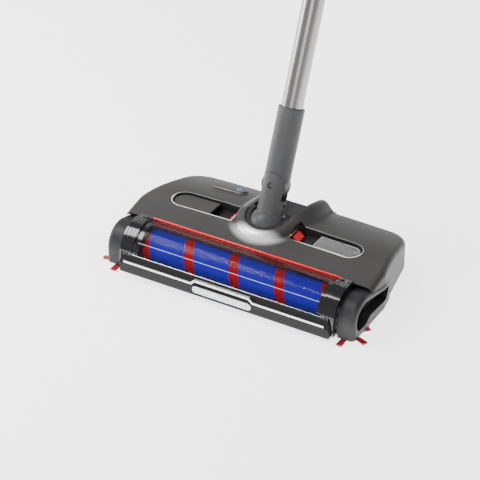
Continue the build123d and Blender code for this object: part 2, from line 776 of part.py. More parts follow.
# ---- power pad and button ----
slope = 16
button_height = 56.2
button_plane = Plane(
    origin=(button_x, button_y, button_height), x_dir=(1, 0, 0),
    z_dir=(0, sin(radians(slope)), cos(radians(slope))),
)

with BuildPart() as power_pad:
    with BuildSketch(Plane.XY.offset(trough_floor)):
        with Locations((pad_x, pad_y)):
            SlotOverall(50, 16)
    extrude(amount=30)
    add(crowned_solid(-2.4, cover_bottom, -68), mode=Mode.INTERSECT)
    fillet(power_pad.faces().sort_by(Axis.Z)[-1].edges(), 1.4)
    add(crowned_solid(4, cover_bottom, -80), mode=Mode.SUBTRACT)
    with BuildSketch(button_plane.offset(-14)):
        Circle(6.3)
    extrude(amount=24, mode=Mode.SUBTRACT)
finish(power_pad, "power_pad")

with BuildPart() as power_button:
    with BuildSketch(button_plane.offset(-6)):
        Circle(6)
    extrude(amount=6.6)
    fillet(power_button.faces().sort_by(Axis.Z)[-1].edges(), 0.8)
finish(power_button, "power_button")

# ---- collar and trough ----
with BuildPart() as collar_ring:
    with BuildSketch(ring_plane.offset(-6.5)):
        Circle(well_radius - 0.3)
        Circle(ring_inner, mode=Mode.SUBTRACT)
    extrude(amount=5)
    split(bisect_by=Plane.XZ.offset(-9.4))
    rims = collar_ring.edges().filter_by(GeomType.CIRCLE)
    fillet(rims.sort_by(lambda e: e.center().dot(Vector(ring_axis)))[-2:], 1.2)
    with Locations((0, 0, pivot_z)):
        Sphere(ball_radius + 0.7, mode=Mode.SUBTRACT)
finish(collar_ring, "collar_ring")

liner_bottom = trough_floor - 2
with BuildPart() as trough_liner:
    with BuildSketch(Plane.XY.offset(liner_bottom)):
        add(trough_outline(0.3, rear_y - 0.4))
    extrude(amount=50)
    with BuildSketch(Plane.XY.offset(liner_bottom + 2)):
        add(trough_outline(2.3, rear_y + 10))
    extrude(amount=50, mode=Mode.SUBTRACT)
    with Locations((0, -27, 60)):
        Box(80, 108, 100, mode=Mode.SUBTRACT)
    with BuildSketch(Plane.YZ.offset(-40)):
        with BuildLine():
            Polyline(
                (0, 75.6), (30, 71.8), (60, 66.9), (rear_y + 2, 57), (rear_y + 2, 100), (0, 100), close=True,
            )
        make_face()
    extrude(amount=80, mode=Mode.SUBTRACT)
finish(trough_liner, "trough_liner")

# ---- neck: ball, yoke, heel ----
up = (0, sin(radians(lean)), cos(radians(lean)))
neck_plane = Plane(origin=(0, 0, pivot_z), x_dir=(1, 0, 0), z_dir=up)
front_plane = Plane(origin=(0, 0, pivot_z), x_dir=(1, 0, 0), z_dir=(0, -up[2], up[1]))
slot_half = 8
tongue_half = 7.7
cheek_top = roll_height + tube_radius

with BuildPart() as yoke:
    with Locations((0, 0, pivot_z)):
        Sphere(ball_radius)
    with BuildSketch(neck_plane):
        Circle(tube_radius + 1.4)
    with BuildSketch(neck_plane.offset(34)):
        Circle(tube_radius)
    loft()
    with BuildSketch(neck_plane.offset(30)):
        Circle(tube_radius)
    extrude(amount=cheek_top - 30)
    with BuildSketch(front_plane.offset(-30)):
        with Locations((0, roll_height)):
            Rectangle(60, 60, align=(Align.CENTER, Align.MIN))
            Circle(tube_radius - 0.05, mode=Mode.SUBTRACT)
    extrude(amount=60, mode=Mode.SUBTRACT)
    with BuildSketch(front_plane.offset(-slot_half)):
        with Locations((0, 36)):
            Rectangle(60, 60, align=(Align.CENTER, Align.MIN))
    extrude(amount=2 * slot_half, mode=Mode.SUBTRACT)
    with BuildSketch(front_plane.offset(-30)):
        with Locations((0, roll_height)):
            Circle(4.05)
    extrude(amount=60, mode=Mode.SUBTRACT)
    with Locations((0, 0, pivot_z)):
        Cylinder(4, 80, rotation=(0, 90, 0), mode=Mode.SUBTRACT)
    side_plane = Plane(neck_plane.offset(30).origin, x_dir=(0, up[2], -up[1]), z_dir=(1, 0, 0))
    with BuildSketch(side_plane.offset(12)):
        Circle(2.6)
    extrude(amount=10, mode=Mode.SUBTRACT)
finish(yoke, "yoke")

with BuildPart() as pivot_pin:
    with Locations((0, 0, pivot_z)):
        Cylinder(4, 62, rotation=(0, 90, 0))
finish(pivot_pin, "pivot_pin")

rib_count = 5
with BuildPart() as neck_heel:
    heel_plane = Plane(origin=(0, 0, pivot_z), x_dir=(0, up[2], -up[1]), z_dir=(1, 0, 0))
    with BuildSketch(heel_plane.offset(-7)):
        with BuildLine():
            Polyline((10, 27), (20.5, 27), (23, 32), (19.5, 50), (17, 60), (10, 60), close=True)
        make_face()
    extrude(amount=14)
    for k in range(rib_count):
        with BuildSketch(neck_plane.offset(30 + 5 * k)):
            with Locations((0, 22.6 - 0.9 * k)):
                Rectangle(10, 2.4)
        extrude(amount=2.2)
    with BuildSketch(neck_plane):
        Circle(tube_radius + 0.02)
    extrude(amount=80, mode=Mode.SUBTRACT)
    with BuildSketch(neck_plane):
        Circle(tube_radius + 1.42)
    extrude(amount=34, mode=Mode.SUBTRACT)
    with Locations((0, 0, pivot_z)):
        Sphere(ball_radius + 0.02, mode=Mode.SUBTRACT)
finish(neck_heel, "neck_heel")

# ---- upper socket and the tubes ----
with BuildPart() as neck_socket:
    with BuildSketch(neck_plane.offset(roll_height)):
        Circle(tube_radius)
    extrude(amount=socket_top - roll_height)
    fillet(neck_socket.edges().filter_by(GeomType.CIRCLE).sort_by(lambda e: e.center().Z)[-1], 1.5)
    with BuildSketch(front_plane.offset(-30)):
        with Locations((0, roll_height)):
            Circle(tube_radius + 0.4)
    extrude(amount=30 - tongue_half, mode=Mode.SUBTRACT)
    with BuildSketch(front_plane.offset(tongue_half)):
        with Locations((0, roll_height)):
            Circle(tube_radius + 0.4)
    extrude(amount=30, mode=Mode.SUBTRACT)
    with BuildSketch(front_plane.offset(-tongue_half)):
        with Locations((0, roll_height)):
            Circle(tube_radius)
    extrude(amount=2 * tongue_half)
    with BuildSketch(front_plane.offset(-30)):
        with Locations((0, roll_height)):
            Circle(4)
    extrude(amount=60, mode=Mode.SUBTRACT)
    with BuildSketch(neck_plane.offset(seat_depth)):
        Circle(pole_radius + 0.05)
    extrude(amount=80, mode=Mode.SUBTRACT)
finish(neck_socket, "neck_socket")

with BuildPart() as roll_pin:
    with BuildSketch(front_plane.offset(-15)):
        with Locations((0, roll_height)):
            Circle(4)
    extrude(amount=30)
finish(roll_pin, "roll_pin")


def tube(start, end, outer, inner):
    """Straight tube along the neck's line."""
    with BuildPart() as pipe:
        with BuildSketch(neck_plane.offset(start)):
            Circle(outer)
            Circle(inner, mode=Mode.SUBTRACT)
        extrude(amount=end - start)
    return pipe


pole_lower = tube(seat_depth, lower_pole_top, pole_radius, pole_radius - pole_wall)
finish(pole_lower, "pole_lower")
pole_upper = tube(lower_pole_top, upper_pole_top, pole_radius, pole_radius - pole_wall)
finish(pole_upper, "pole_upper")

with BuildPart() as pole_coupler:
    with BuildSketch(neck_plane.offset(lower_pole_top - coupler_length / 2)):
        Circle(pole_radius + 2.4)
    extrude(amount=coupler_length)
    fillet(pole_coupler.edges().filter_by(GeomType.CIRCLE), 1.6)
    with BuildSketch(neck_plane.offset(lower_pole_top - coupler_length)):
        Circle(pole_radius + 0.02)
    extrude(amount=2 * coupler_length, mode=Mode.SUBTRACT)
finish(pole_coupler, "pole_coupler")

grip_seat = upper_pole_top - 60
hang_height = grip_top - 18
with BuildPart() as grip:
    sections = [
        (grip_seat, 17), (grip_seat + 30, 17), (grip_seat + 90, 15.5), (grip_top - 50, 16.5), (grip_top, 13),
    ]
    for height, radius in sections:
        with BuildSketch(neck_plane.offset(height)):
            Circle(radius)
    loft()
    fillet(grip.edges().sort_by(lambda e: e.center().Z)[-1], 6)
    with BuildSketch(neck_plane.offset(grip_seat - 1)):
        Circle(pole_radius + 0.02)
    extrude(amount=61, mode=Mode.SUBTRACT)
    with BuildSketch(front_plane.offset(-30)):
        with Locations((0, hang_height)):
            Circle(5.5)
    extrude(amount=60, mode=Mode.SUBTRACT)
finish(grip, "grip")
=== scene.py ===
import bmesh
import bpy
import math
import random
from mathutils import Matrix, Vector
from mathutils.bvhtree import BVHTree


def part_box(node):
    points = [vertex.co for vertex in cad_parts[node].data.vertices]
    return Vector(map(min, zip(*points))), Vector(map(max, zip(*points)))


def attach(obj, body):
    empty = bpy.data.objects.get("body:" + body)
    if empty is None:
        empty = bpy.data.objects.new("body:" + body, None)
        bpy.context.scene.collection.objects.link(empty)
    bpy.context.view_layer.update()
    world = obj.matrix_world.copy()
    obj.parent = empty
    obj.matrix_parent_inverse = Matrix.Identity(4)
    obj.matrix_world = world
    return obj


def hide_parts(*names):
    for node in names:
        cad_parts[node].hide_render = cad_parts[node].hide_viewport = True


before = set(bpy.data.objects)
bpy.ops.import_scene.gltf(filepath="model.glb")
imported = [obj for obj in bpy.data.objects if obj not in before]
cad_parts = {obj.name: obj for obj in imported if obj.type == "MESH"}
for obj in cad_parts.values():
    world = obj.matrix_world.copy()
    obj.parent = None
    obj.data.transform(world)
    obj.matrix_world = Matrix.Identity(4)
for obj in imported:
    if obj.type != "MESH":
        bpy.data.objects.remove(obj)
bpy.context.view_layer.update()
rng = random.Random(7)
mm = 0.001


# shader arithmetic: an expression on sockets adds the nodes it needs
class Sock:
    def __init__(self, tree, out=None):
        self.tree = tree
        self.out = out

    def node(self, kind, settings, inputs, output=0):
        made = self.tree.nodes.new("ShaderNode" + kind)
        for key, value in settings.items():
            setattr(made, key, value)
        for key, value in inputs.items():
            if isinstance(value, Sock):
                self.tree.links.new(value.out, made.inputs[key])
            else:
                made.inputs[key].default_value = value
        out = made.outputs[output] if made.outputs else None  # the material output has none
        return Sock(self.tree, out)

    def calc(self, operation, first, second=0.0, third=0.0):
        return self.node("Math", {"operation": operation}, {0: first, 1: second, 2: third})

    def __add__(self, other):
        return self.calc("ADD", self, other)

    def __radd__(self, other):
        return self.calc("ADD", other, self)

    def __sub__(self, other):
        return self.calc("SUBTRACT", self, other)

    def __rsub__(self, other):
        return self.calc("SUBTRACT", other, self)

    def __mul__(self, other):
        return self.calc("MULTIPLY", self, other)

    def __rmul__(self, other):
        return self.calc("MULTIPLY", other, self)

    def __truediv__(self, other):
        return self.calc("DIVIDE", self, other)

    def clip(self, low, high):  # 0 below low, 1 above high, smooth between
        return self.node("MapRange", {"interpolation_type": "SMOOTHSTEP"}, {0: self, 1: low, 2: high})

    def blend(self, first, second):  # colour mixed by this mask
        return self.node("Mix", {"data_type": "RGBA"}, {0: self, 6: first, 7: second}, 2)


def newMaterial(name):
    material = bpy.data.materials.new(name)
    material.use_nodes = True
    material.node_tree.nodes.clear()
    return material, Sock(material.node_tree)


def place(s):  # position in the model's own space
    return s.node("TexCoord", {}, {}, 3)


def part(s, vector, axis):  # one coordinate of a vector
    return s.node("SeparateXYZ", {}, {0: vector}, axis)


def mapped(s, where, turn=(0, 0, 0), scale=(1, 1, 1)):
    return s.node("Mapping", {}, {"Vector": where, "Rotation": turn, "Scale": scale})


def noise(s, where, scale, detail=3.0, rough=0.5):
    return s.node("TexNoise", {}, {"Vector": where, "Scale": scale, "Detail": detail, "Roughness": rough})


def swing(pattern, width):  # a pattern from 0 to 1 moved to lie about zero
    return (pattern - 0.5) * width


def bump(s, height, strength, distance):
    return s.node("Bump", {}, {"Height": height, "Strength": strength, "Distance": distance})


def rgb(colour):
    return (*colour, 1)


def finishSurface(material, s, fixed, varying):
    shader = s.node("BsdfPrincipled", {}, {**fixed, **varying})
    s.node("OutputMaterial", {}, {"Surface": shader})
    return material


# moulded plastics: two shades each, and a coat only on the glossy ones
moulding = dict(
    clouds=14, low=0.3, high=0.7, uneven=0.12, bumps=0.4 * mm, ior=1.46, shine=0.5,
    coatLeast=0.85, coatRise=0.3, coatRough=0.08,
)
plastics = {
    "neckGrey": dict(
        base=(0.062, 0.062, 0.063), light=(0.082, 0.082, 0.083), rough=0.38, grain=1500, depth=0.05,
        shine=0.2,
    ),
    "darkGrey": dict(
        base=(0.022, 0.022, 0.023), light=(0.034, 0.034, 0.035), rough=0.45, grain=1300, depth=0.08,
        shine=0.22,
    ),
    "blackGloss": dict(
        base=(0.006, 0.006, 0.007), light=(0.012, 0.012, 0.013), rough=0.12, grain=500, depth=0.01, coat=0.6,
    ),
    "blackSatin": dict(
        base=(0.012, 0.012, 0.012), light=(0.02, 0.02, 0.02), rough=0.38, grain=900, depth=0.05,
    ),
    "redGloss": dict(
        base=(0.85, 0.002, 0.008), light=(0.95, 0.003, 0.012), rough=0.28, grain=700, depth=0.02, coat=0.3,
    ),
    "blueButton": dict(
        base=(0.02, 0.02, 0.4), light=(0.03, 0.035, 0.52), rough=0.25, grain=700, depth=0.02, coat=0.3,
    ),
    "whiteInk": dict(
        base=(0.8, 0.8, 0.8), light=(0.86, 0.86, 0.86), rough=0.5, grain=900, depth=0.02,
    ),
    "rubber": dict(
        base=(0.013, 0.013, 0.013), light=(0.022, 0.022, 0.022), rough=0.7, grain=900, depth=0.12,
    ),
    "boardGreen": dict(
        base=(0.01, 0.07, 0.03), light=(0.016, 0.1, 0.045), rough=0.4, grain=300, depth=0.05, coat=0.2,
    ),
    "batteryWrap": dict(
        base=(0.012, 0.03, 0.12), light=(0.02, 0.04, 0.16), rough=0.3, grain=200, depth=0.05, coat=0.2,
    ),
}


def plastic(name):
    look = {**moulding, **plastics[name]}
    material, s = newMaterial(name)
    where = place(s)
    cloudy = noise(s, where, look["clouds"], 2)
    grain = noise(s, where, look["grain"], 2)
    fixed = {"IOR": look["ior"], "Coat Roughness": look["coatRough"], "Specular IOR Level": look["shine"]}
    varying = {
        "Base Color": cloudy.clip(look["low"], look["high"]).blend(rgb(look["base"]), rgb(look["light"])),
        "Roughness": look["rough"] + swing(grain, look["uneven"]),
        "Normal": bump(s, grain, look["depth"], look["bumps"]),
    }
    if "coat" in look:
        varying["Coat Weight"] = look["coat"] * (look["coatLeast"] + look["coatRise"] * cloudy)
    return finishSurface(material, s, fixed, varying)


# the cover's satin grey; in front of the collar it turns smoother and more metallic and is painted near white
# as a painted highlight; upright faces are darkened as painted shade
# the bumper takes the cover's grey at 0.6 as painted shade, its front being less lit than the top
coverShades = dict(coverGrey=1.0, bumperShadedGrey=0.6)
coverLook = dict(
    base=(0.05, 0.048, 0.045), light=(0.064, 0.062, 0.058), clouds=9, low=0.3, high=0.7,
    # side, upright and level set the painted shade: the grey falls to a fifth of itself on faces that stand
    # upright
    side=0.2, upright=0.3, level=0.97,
    # the collar crescent is partly real, more metallic and smoother, and partly a painted highlight, its
    # colour near white
    highlightSilver=(0.95, 0.95, 0.94), collarInner=37 * mm, collarOuter=52 * mm,
    collarBack=20 * mm, collarFront=38 * mm,
    metal=0.06, flecks=2600, fleckLow=0.55, fleckHigh=0.75, fleckMetal=0.14, collarMetal=0.6,
    rough=0.46, grain=1400, uneven=0.14, collarSmooth=0.08, depth=0.05, bumps=0.4 * mm,
    coat=0.04, coatRough=0.2, ior=1.48, shine=0.2,
)


def coverGrey(name):
    look = coverLook
    shade = coverShades[name]
    material, s = newMaterial(name)
    where = place(s)
    cloudy = noise(s, where, look["clouds"], 2)
    fleck = noise(s, where, look["flecks"], 1).clip(look["fleckLow"], look["fleckHigh"])
    grain = noise(s, where, look["grain"], 2)
    x, y = part(s, where, 0), part(s, where, 1)
    around = s.calc("SQRT", x * x + y * y)
    front = (0 - y).clip(look["collarBack"], look["collarFront"])
    collarSilverAndHighlight = (1 - around.clip(look["collarInner"], look["collarOuter"])) * front
    base = [shade * c for c in look["base"]]
    light = [shade * c for c in look["light"]]
    top = cloudy.clip(look["low"], look["high"]).blend(rgb(base), rgb(light))
    # painted shade: the grey darkens from level faces to upright ones
    upward = part(s, s.node("NewGeometry", {}, {}, 1), 2)
    dark = [look["side"] * c for c in base]
    shadedSidesGrey = upward.clip(look["upright"], look["level"]).blend(rgb(dark), top)
    fixed = {"IOR": look["ior"], "Coat Roughness": look["coatRough"], "Specular IOR Level": look["shine"]}
    varying = {
        # painted highlight: in front of the collar the colour goes near white, over a real smoother, more
        # metallic finish
        "Base Color": collarSilverAndHighlight.blend(shadedSidesGrey, rgb(look["highlightSilver"])),
        "Metallic": look["metal"] + fleck * look["fleckMetal"] + collarSilverAndHighlight * look["collarMetal"],
        "Roughness": look["rough"] + swing(grain, look["uneven"]) - collarSilverAndHighlight * look["collarSmooth"],
        "Coat Weight": look["coat"] + look["coat"] * cloudy,
        "Normal": bump(s, grain, look["depth"], look["bumps"]),
    }
    return finishSurface(material, s, fixed, varying)


# metals: streak is the noise scale along each axis
plating = dict(low=0.25, high=0.75, uneven=0.16, bumps=0.3 * mm, ior=1.5)
metals = {
    "silverTrim": dict(
        base=(0.82, 0.82, 0.81), dull=(0.68, 0.68, 0.67), rough=0.16, streak=(60, 900, 900), depth=0.03,
    ),
    "coverSilver": dict(
        base=(0.42, 0.41, 0.4), dull=(0.3, 0.3, 0.29), rough=0.35, streak=(500, 500, 500), depth=0.03,
    ),
    "steelPart": dict(
        base=(0.5, 0.5, 0.49), dull=(0.4, 0.4, 0.39), rough=0.32, streak=(900, 200, 200), depth=0.05,
    ),
    "silverMesh": dict(
        base=(0.62, 0.62, 0.61), dull=(0.48, 0.48, 0.47), rough=0.3, streak=(600, 600, 600), depth=0.05,
    ),
}


def metal(name):
    look = {**plating, **metals[name]}
    material, s = newMaterial(name)
    fine = noise(s, mapped(s, place(s), scale=look["streak"]), 1, 3)
    varying = {
        "Base Color": fine.clip(look["low"], look["high"]).blend(rgb(look["dull"]), rgb(look["base"])),
        "Roughness": look["rough"] + swing(fine, look["uneven"]),
        "Normal": bump(s, fine, look["depth"], look["bumps"]),
    }
    return finishSurface(material, s, {"IOR": look["ior"], "Metallic": 1.0}, varying)


# the pole: fine lines along its lean, in degrees back from upright
poleLook = dict(
    base=(0.33, 0.32, 0.31), dull=(0.27, 0.262, 0.256), low=0.2, high=0.8, lean=22.8, along=3, across=1500,
    rough=0.26, uneven=0.08, smudges=18, smudged=0.06, depth=0.03, bumps=0.2 * mm, ior=1.5,
)


def brushedPole():
    look = poleLook
    material, s = newMaterial("brushedPole")
    upright = mapped(s, place(s), turn=(math.radians(look["lean"]), 0, 0))
    lines = mapped(s, upright, scale=(look["across"], look["across"], look["along"]))
    hair = noise(s, lines, 1, 3, 0.6)
    smudge = noise(s, place(s), look["smudges"], 3)
    varying = {
        "Base Color": hair.clip(look["low"], look["high"]).blend(rgb(look["dull"]), rgb(look["base"])),
        "Roughness": look["rough"] + swing(hair, look["uneven"]) + swing(smudge, look["smudged"]),
        "Normal": bump(s, hair, look["depth"], look["bumps"]),
    }
    return finishSurface(material, s, {"IOR": look["ior"], "Metallic": 1.0}, varying)


# clear and tinted parts: body is how solid they look face on, rim adds to it at the edges
clearing = dict(
    facing=0.32, rim=0.5, passes=0.9, scuffs=60, scuffLow=0.55, scuffHigh=0.8, scuffed=0.05, ior=1.49,
    shine=0.45,
)
clears = {
    "clearWindow": dict(tint=(0.03, 0.03, 0.032), body=0.04, rough=0.09),
    # painted highlight: a pale, half solid tint for the rib that stands for the line of light along the
    # window
    "highlightRibClear": dict(tint=(0.85, 0.86, 0.88), body=0.55, rough=0.08),
    "redBand": dict(tint=(0.2, 0.004, 0.012), body=0.72, rough=0.2),
}


def clearPlastic(name):
    look = {**clearing, **clears[name]}
    material, s = newMaterial(name)
    edge = s.node("LayerWeight", {}, {"Blend": look["facing"]}, 1)
    scuff = noise(s, place(s), look["scuffs"], 3).clip(look["scuffLow"], look["scuffHigh"])
    shell = s.node("BsdfPrincipled", {}, {
        "Base Color": rgb(look["tint"]), "IOR": look["ior"], "Specular IOR Level": look["shine"],
        "Roughness": look["rough"] + scuff * look["scuffed"],
    })
    passed = [look["passes"] + (1 - look["passes"]) * t for t in look["tint"]]
    through = s.node("BsdfTransparent", {}, {"Color": rgb(passed)})
    mixed = s.node("MixShader", {}, {0: look["body"] + edge * look["rim"], 1: through, 2: shell})
    s.node("OutputMaterial", {}, {"Surface": mixed})
    return material


# roller pile: blue with a red stripe wound round it, passing passesX at passesAngle
pile = dict(
    blue=(0.03, 0.016, 0.6), blueDark=(0.016, 0.008, 0.4),
    red=(0.5, 0.004, 0.012), redDark=(0.34, 0.002, 0.008),
    pitch=64 * mm, width=13.5 * mm, passesX=5 * mm, passesAngle=53, soft=0.006, wander=220, wandered=0.05,
    fluff=900, tufts=160, fluffInShade=0.6, fluffInBumps=0.8, low=0.32, high=0.62,
    rough=0.75, uneven=0.2, depth=0.35, bumps=0.8 * mm,
    ior=1.4, shine=0.08, sheen=0.1, sheenRough=0.4, sheenTint=(0.4, 0.4, 1),
)
rollerLow, rollerHigh = [Vector(c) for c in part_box("roller_pile")]
rollerMid = (rollerLow + rollerHigh) / 2


def pileFabric():
    look = pile
    material, s = newMaterial("rollerPile")
    where = place(s)
    x, y, z = [part(s, where, axis) for axis in range(3)]
    angle = s.calc("ARCTAN2", rollerMid.y - y, z - rollerMid.z)
    turns = (x - look["passesX"]) / look["pitch"] - angle / (2 * math.pi) + look["passesAngle"] / 360
    wobble = swing(noise(s, where, look["wander"], 2), look["wandered"])
    away = s.calc("ABSOLUTE", s.calc("WRAP", turns + wobble, 0.5, -0.5))
    half = 0.5 * look["width"] / look["pitch"]
    stripe = 1 - away.clip(half - look["soft"], half + look["soft"])
    fluff = noise(s, where, look["fluff"], 3, 0.7)
    tufted = noise(s, where, look["tufts"], 3, 0.6)
    mottle = fluff * look["fluffInShade"] + tufted * (1 - look["fluffInShade"])
    shade = mottle.clip(look["low"], look["high"])
    blue = shade.blend(rgb(look["blueDark"]), rgb(look["blue"]))
    red = shade.blend(rgb(look["redDark"]), rgb(look["red"]))
    fixed = {
        "IOR": look["ior"], "Specular IOR Level": look["shine"],
        "Sheen Weight": look["sheen"], "Sheen Roughness": look["sheenRough"],
        "Sheen Tint": rgb(look["sheenTint"]),
    }
    height = fluff * look["fluffInBumps"] + tufted * (1 - look["fluffInBumps"])
    varying = {
        "Base Color": stripe.blend(blue, red),
        "Roughness": look["rough"] + look["uneven"] * fluff,
        "Normal": bump(s, height, look["depth"], look["bumps"]),
    }
    return finishSurface(material, s, fixed, varying)


# corner brush strands
bristles = dict(
    dark=(0.42, 0.008, 0.03), light=(0.72, 0.03, 0.07), low=0.3, high=0.7, grain=800, rough=0.4, uneven=0.2,
    depth=0.1, bumps=0.3 * mm, ior=1.5, sheen=0.2,
)


def bristleRed():
    look = bristles
    material, s = newMaterial("bristleRed")
    strand = noise(s, place(s), look["grain"], 2)
    varying = {
        "Base Color": strand.clip(look["low"], look["high"]).blend(rgb(look["dark"]), rgb(look["light"])),
        "Roughness": look["rough"] + look["uneven"] * strand,
        "Normal": bump(s, strand, look["depth"], look["bumps"]),
    }
    return finishSurface(material, s, {"IOR": look["ior"], "Sheen Weight": look["sheen"]}, varying)


# the lamp's lens: pale cells with a weak glow
lensLook = dict(
    dark=(0.36, 0.37, 0.39), pale=(0.85, 0.86, 0.88), cells=420, cellLow=0.1, cellHigh=0.5,
    glow=0.2, glowLow=(0.25, 0.26, 0.27), glowHigh=(0.7, 0.72, 0.74),
    rough=0.12, soft=90, uneven=0.2, depth=0.5, bumps=0.8 * mm, ior=1.5, coat=0.5,
)


def lampWhite():
    look = lensLook
    material, s = newMaterial("lampWhite")
    where = place(s)
    cells = s.node("TexVoronoi", {}, {"Vector": where, "Scale": look["cells"]})
    soft = noise(s, where, look["soft"], 2)
    rise = cells.clip(look["cellLow"], look["cellHigh"])
    fixed = {"IOR": look["ior"], "Emission Strength": look["glow"], "Coat Weight": look["coat"]}
    varying = {
        "Base Color": rise.blend(rgb(look["dark"]), rgb(look["pale"])),
        "Roughness": look["rough"] + look["uneven"] * soft,
        "Emission Color": rise.blend(rgb(look["glowLow"]), rgb(look["glowHigh"])),
        "Normal": bump(s, cells, look["depth"], look["bumps"]),
    }
    return finishSurface(material, s, fixed, varying)


mats = {name: plastic(name) for name in plastics}
mats.update({name: metal(name) for name in metals})
mats.update({name: coverGrey(name) for name in coverShades})
mats["brushedPole"] = brushedPole()
mats.update({name: clearPlastic(name) for name in clears})
mats["rollerPile"] = pileFabric()
mats["bristleRed"] = bristleRed()
mats["lampWhite"] = lampWhite()
print("materials ready:", len(mats))

# which finish each modelled node takes
finishes = {
    "coverGrey": ["top_cover", "pad_insert", "power_pad"],
    "bumperShadedGrey": ["front_bumper"],
    "neckGrey": ["yoke", "neck_socket", "roll_pin"],
    "darkGrey": ["base_pan", "collar_ring", "trough_liner", "recess_trays", "end_cap_left", "end_cap_right",
                 "pivot_blocks", "neck_heel", "pole_coupler", "grip", "dust_door_left", "dust_door_right"],
    "blackGloss": ["corner_bracket_left", "corner_bracket_right", "cover_lug_left", "cover_lug_right"],
    "blackSatin": ["roller_bushes", "charging_socket", "roller_core", "roller_pulley", "side_brush_hub_left",
                   "side_brush_hub_right", "rear_wheel_left", "rear_wheel_right"],
    "redGloss": ["red_strip", "latch_slider_left", "latch_slider_right"],
    "blueButton": ["power_button"],
    "rubber": ["drive_belt", "front_glides", "rear_tyre_left", "rear_tyre_right"],
    "boardGreen": ["headlight_board", "control_board"],
    "batteryWrap": ["battery_pack"],
    "silverTrim": ["bumper_trim", "recess_rims"],
    "silverMesh": ["mesh_grille"],
    "steelPart": ["motor_body", "side_brush_motors", "wheel_axles", "base_screws", "latch_springs",
                  "motor_shaft", "pivot_pin"],
    "brushedPole": ["pole_lower", "pole_upper"],
    "clearWindow": ["clear_cover"],
    "redBand": ["window_band"],
    "rollerPile": ["roller_pile"],
    "bristleRed": ["side_brush_tufts_left", "side_brush_tufts_right"],
    "lampWhite": ["headlight_lens"],
}
for finish, names in finishes.items():
    for name in names:
        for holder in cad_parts[name].material_slots:
            holder.material = mats[finish]
print("nodes finished:", sum(len(names) for names in finishes.values()))


# helpers for the added pieces
def corners(node):
    return [Vector(c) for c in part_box(node)]


def surfaceOf(node):
    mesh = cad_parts[node].data
    faces = [list(face.vertices) for face in mesh.polygons]
    return BVHTree.FromPolygons([v.co.copy() for v in mesh.vertices], faces)


overhead = 200 * mm  # above the head, where the downward rays start


def drop(surface, x, y):  # the highest point of the surface there, or None
    return surface.ray_cast(Vector((x, y, overhead)), Vector((0, 0, -1)))[0]


coverSurface = surfaceOf("top_cover")


def coverHeight(x, y):
    hit = drop(coverSurface, x, y)
    return hit.z if hit else None


def addPiece(name, mesh, finish, body, smooth=True):
    obj = bpy.data.objects.new(name, mesh)
    bpy.context.collection.objects.link(obj)
    mesh.materials.clear()
    mesh.materials.append(mats[finish])
    for face in mesh.polygons:
        face.use_smooth = smooth
    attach(obj, body)
    return obj


def bead(name, strands, radius, closed=False, sides=3):  # round strip along each list of points
    curve = bpy.data.curves.new(name, "CURVE")
    curve.dimensions = "3D"
    curve.bevel_depth = radius
    curve.bevel_resolution = sides
    curve.use_fill_caps = True
    for points in strands:
        spline = curve.splines.new("POLY")
        spline.points.add(len(points) - 1)
        for corner, at in zip(spline.points, points):
            corner.co = (*at, 1)
        spline.use_cyclic_u = closed
    holder = bpy.data.objects.new(name, curve)
    bpy.context.collection.objects.link(holder)
    mesh = bpy.data.meshes.new_from_object(holder.evaluated_get(bpy.context.evaluated_depsgraph_get()))
    bpy.data.objects.remove(holder)
    return mesh


def toMesh(name, work):
    mesh = bpy.data.meshes.new(name)
    work.to_mesh(mesh)
    work.free()
    return mesh


def skin(work, loops):  # faces through a row of loops, closed at both ends
    count = len(loops[0])
    for first, second in zip(loops, loops[1:]):
        for k in range(count):
            after = (k + 1) % count
            work.faces.new((first[k], first[after], second[after], second[k]))
    work.faces.new(loops[0][::-1])
    work.faces.new(loops[-1])


def block(work, one, other, ease):  # box with eased edges between two opposite corners
    low = Vector([min(pair) for pair in zip(one, other)])
    high = Vector([max(pair) for pair in zip(one, other)])
    made = bmesh.ops.create_cube(work, size=1)["verts"]
    for v in made:
        v.co = Vector([low[k] + (v.co[k] + 0.5) * (high[k] - low[k]) for k in range(3)])
    edges = list({e for v in made for e in v.link_edges})
    bmesh.ops.bevel(work, geom=edges, offset=ease, segments=2, affect="EDGES")


def disc(work, centre, axis, radius, height, segments=32, ease=0.4 * mm):  # short cylinder with an eased rim
    turn = Vector((0, 0, 1)).rotation_difference(Vector(axis)).to_matrix().to_4x4()
    angles = [2 * math.pi * k / segments for k in range(segments)]
    loops = []
    for r, h in ((radius, 0), (radius, height - ease), (radius - ease, height)):
        ring = [Vector(centre) + turn @ Vector((r * math.cos(a), r * math.sin(a), h)) for a in angles]
        loops.append([work.verts.new(at) for at in ring])
    skin(work, loops)


def ringPoint(centre, radius, angle, x):  # angle from straight up, towards the front
    return Vector((x, centre.y - radius * math.sin(angle), centre.z + radius * math.cos(angle)))


# corner brush bundles, each a fan of fine strands from the hub
brush = dict(
    bundles=5, strands=80, inner=7.6 * mm, outer=28.6 * mm, shortest=0.94, thick=0.36 * mm, tip=0.8,
    halfWide=3.1 * mm, flare=1.25, bend=0.6 * mm, low=2.7 * mm, high=5.0 * mm, droop=0.3 * mm,
)


def addStrand(work, hub, out, across):
    offset = rng.uniform(-1, 1)
    height = rng.uniform(brush["low"], brush["high"])
    reach = brush["outer"] * rng.uniform(brush["shortest"], 1.0)
    bend = rng.uniform(-brush["bend"], brush["bend"])
    start = out * brush["inner"] + across * offset * brush["halfWide"]
    end = out * reach + across * (offset * brush["halfWide"] * brush["flare"] + bend)
    tip = height - brush["droop"]
    loops = []
    for where, z, wide in ((start, height, 1.0), ((start + end) / 2, height, 1.0), (end, tip, brush["tip"])):
        at = hub + where + Vector((0, 0, z))
        half = brush["thick"] * wide
        side = across * half
        up = Vector((0, 0, half))
        loops.append([work.verts.new(at + edge) for edge in (-side, -up, side, up)])
    skin(work, loops)


